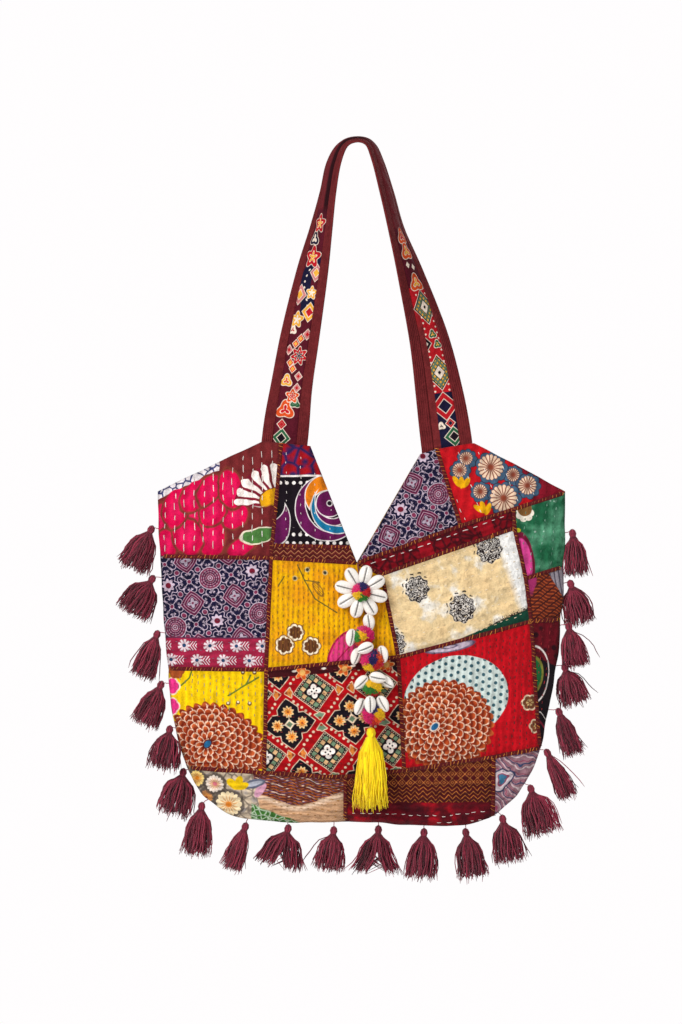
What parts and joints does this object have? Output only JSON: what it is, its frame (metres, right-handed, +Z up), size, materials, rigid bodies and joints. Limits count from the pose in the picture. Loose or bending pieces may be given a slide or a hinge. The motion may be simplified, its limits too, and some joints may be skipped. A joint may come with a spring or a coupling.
{
  "type": "patchwork shoulder bag",
  "caption": "Hanging patchwork cloth shoulder bag with a V-shaped mouth, one wide loop strap, yarn tassels round its seams and a shell and pompom dangle.",
  "frame": {"origin": "on the underside of the strap's ridge at the top of its loop, where a hook carries the bag", "axes": "+Z up along the hanging bag, +X to the right of someone who looks at its front, the front faces -Y"},
  "size_m": [0.4921, 0.0844, 0.7692],
  "materials": {
    "pink_floral_cloth": "stitched printed cotton",
    "swirl_cloth": "stitched printed cotton",
    "zigzag_strip_cloth": "stitched printed cotton",
    "block_border_cloth": "stitched printed cotton",
    "yellow_kantha_cloth": "stitched printed cotton",
    "dahlia_yellow_cloth": "stitched printed cotton",
    "stepped_red_cloth": "stitched printed cotton",
    "daisy_field_cloth": "stitched printed cotton",
    "dark_zigzag_cloth": "stitched printed cotton",
    "block_triangle_cloth": "stitched printed cotton",
    "red_daisy_cloth": "stitched printed cotton",
    "red_strip_cloth": "stitched printed cotton",
    "green_cloth": "stitched printed cotton",
    "cream_cloth": "stitched printed cotton",
    "side_stripe_cloth": "stitched printed cotton",
    "side_dark_cloth": "stitched printed cotton",
    "dahlia_red_cloth": "stitched printed cotton",
    "paisley_cloth": "stitched printed cotton",
    "back_upper_left_cloth": "stitched printed cotton",
    "back_upper_right_cloth": "stitched printed cotton",
    "back_lower_left_cloth": "stitched printed cotton",
    "back_lower_right_cloth": "stitched printed cotton",
    "strap_print": "woven printed strip",
    "strap_binding": "ribbed matt cotton",
    "wine_yarn": "soft yarn",
    "dangle_thread": "twisted thread",
    "shell": "polished shell",
    "pompom_yarn": "clipped wool of several colours",
    "yellow_yarn": "silky yarn"
  },
  "bodies": {
    "root": {"patch_pink_floral": "pink_floral_cloth", "patch_swirl": "swirl_cloth", "patch_zigzag_strip": "zigzag_strip_cloth", "patch_block_border": "block_border_cloth", "patch_yellow_kantha": "yellow_kantha_cloth", "patch_dahlia_yellow": "dahlia_yellow_cloth", "patch_stepped_red": "stepped_red_cloth", "patch_daisy_field": "daisy_field_cloth", "patch_dark_zigzag": "dark_zigzag_cloth", "patch_block_triangle": "block_triangle_cloth", "patch_red_daisy": "red_daisy_cloth", "patch_red_strip": "red_strip_cloth", "patch_green": "green_cloth", "patch_cream": "cream_cloth", "patch_side_stripe": "side_stripe_cloth", "patch_side_dark": "side_dark_cloth", "patch_dahlia_red": "dahlia_red_cloth", "patch_paisley": "paisley_cloth", "back_upper_left": "back_upper_left_cloth", "back_upper_right": "back_upper_right_cloth", "back_lower_left": "back_lower_left_cloth", "back_lower_right": "back_lower_right_cloth", "strap_print": "strap_print", "strap_binding_outer": "strap_binding", "strap_binding_inner": "strap_binding", "tassel_01": "wine_yarn", "tassel_02": "wine_yarn", "tassel_03": "wine_yarn", "tassel_04": "wine_yarn", "tassel_05": "wine_yarn", "tassel_06": "wine_yarn", "tassel_07": "wine_yarn", "tassel_08": "wine_yarn", "tassel_09": "wine_yarn", "tassel_10": "wine_yarn", "tassel_11": "wine_yarn", "tassel_12": "wine_yarn", "tassel_13": "wine_yarn", "tassel_14": "wine_yarn", "tassel_15": "wine_yarn", "tassel_16": "wine_yarn", "tassel_17": "wine_yarn", "tassel_18": "wine_yarn", "tassel_19": "wine_yarn", "tassel_20": "wine_yarn", "tassel_21": "wine_yarn", "dangle_thread": "dangle_thread", "shell_flower": "shell", "shell_link": "shell", "shell_cap_1": "shell", "shell_cap_2": "shell", "shell_cap_3": "shell", "shell_cap_4": "shell", "flower_pompom": "pompom_yarn", "pompom_1": "pompom_yarn", "pompom_2": "pompom_yarn", "pompom_3": "pompom_yarn", "pompom_4": "pompom_yarn", "tassel_yellow": "yellow_yarn"}
  },
  "joints": []
}
